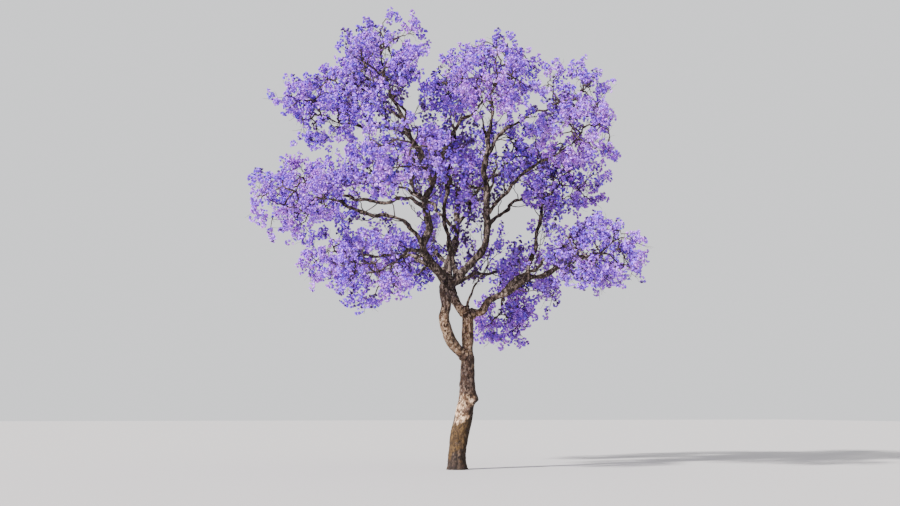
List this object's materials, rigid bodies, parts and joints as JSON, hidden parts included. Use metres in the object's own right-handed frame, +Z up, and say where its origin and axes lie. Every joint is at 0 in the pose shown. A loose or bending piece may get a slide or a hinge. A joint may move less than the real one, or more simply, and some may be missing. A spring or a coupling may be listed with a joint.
{
  "type": "jacaranda tree",
  "caption": "Jacaranda tree in full blossom: a leaning trunk forking low into long sinuous limbs, and a wide open crown of separate violet blossom masses.",
  "frame": {"origin": "middle of the flat cut under the trunk, at ground level", "axes": "+Z up, +X to the right and +Y to the back as the tree is seen in the picture"},
  "size_m": [12.0301, 10.5885, 12.588],
  "materials": {
    "bark": "rough, fissured grey-brown bark",
    "blossom": "matt violet-blue petals"
  },
  "bodies": {
    "root": {"trunk": "bark", "front_high_bough": "bark", "front_left_bough": "bark", "left_arm": "bark", "left_front_bough": "bark", "left_high_bough": "bark", "left_leader": "bark", "left_low_bough": "bark", "left_lower_bough": "bark", "left_rear_bough": "bark", "left_stem": "bark", "left_upper_bough": "bark", "middle_limb": "bark", "rear_left_high_bough": "bark", "rear_left_low_bough": "bark", "rear_limb": "bark", "rear_low_bough": "bark", "rear_right_high_bough": "bark", "rear_right_low_bough": "bark", "right_arm": "bark", "right_bough": "bark", "right_front_bough": "bark", "right_high_bough": "bark", "right_leader": "bark", "right_low_bough": "bark", "right_rear_bough": "bark", "top_bough": "bark", "upper_front_bough": "bark", "upper_right_bough": "bark", "front_high_bough_blossom": "blossom", "front_left_bough_blossom": "blossom", "left_front_bough_blossom": "blossom", "left_high_bough_blossom": "blossom", "left_leader_blossom": "blossom", "left_low_bough_blossom": "blossom", "left_lower_bough_blossom": "blossom", "left_rear_bough_blossom": "blossom", "left_upper_bough_blossom": "blossom", "middle_limb_blossom": "blossom", "rear_left_high_bough_blossom": "blossom", "rear_left_low_bough_blossom": "blossom", "rear_limb_blossom": "blossom", "rear_low_bough_blossom": "blossom", "rear_right_high_bough_blossom": "blossom", "rear_right_low_bough_blossom": "blossom", "right_bough_blossom": "blossom", "right_front_bough_blossom": "blossom", "right_high_bough_blossom": "blossom", "right_leader_blossom": "blossom", "right_low_bough_blossom": "blossom", "right_rear_bough_blossom": "blossom", "top_bough_blossom": "blossom", "upper_front_bough_blossom": "blossom", "upper_right_bough_blossom": "blossom"}
  },
  "joints": []
}
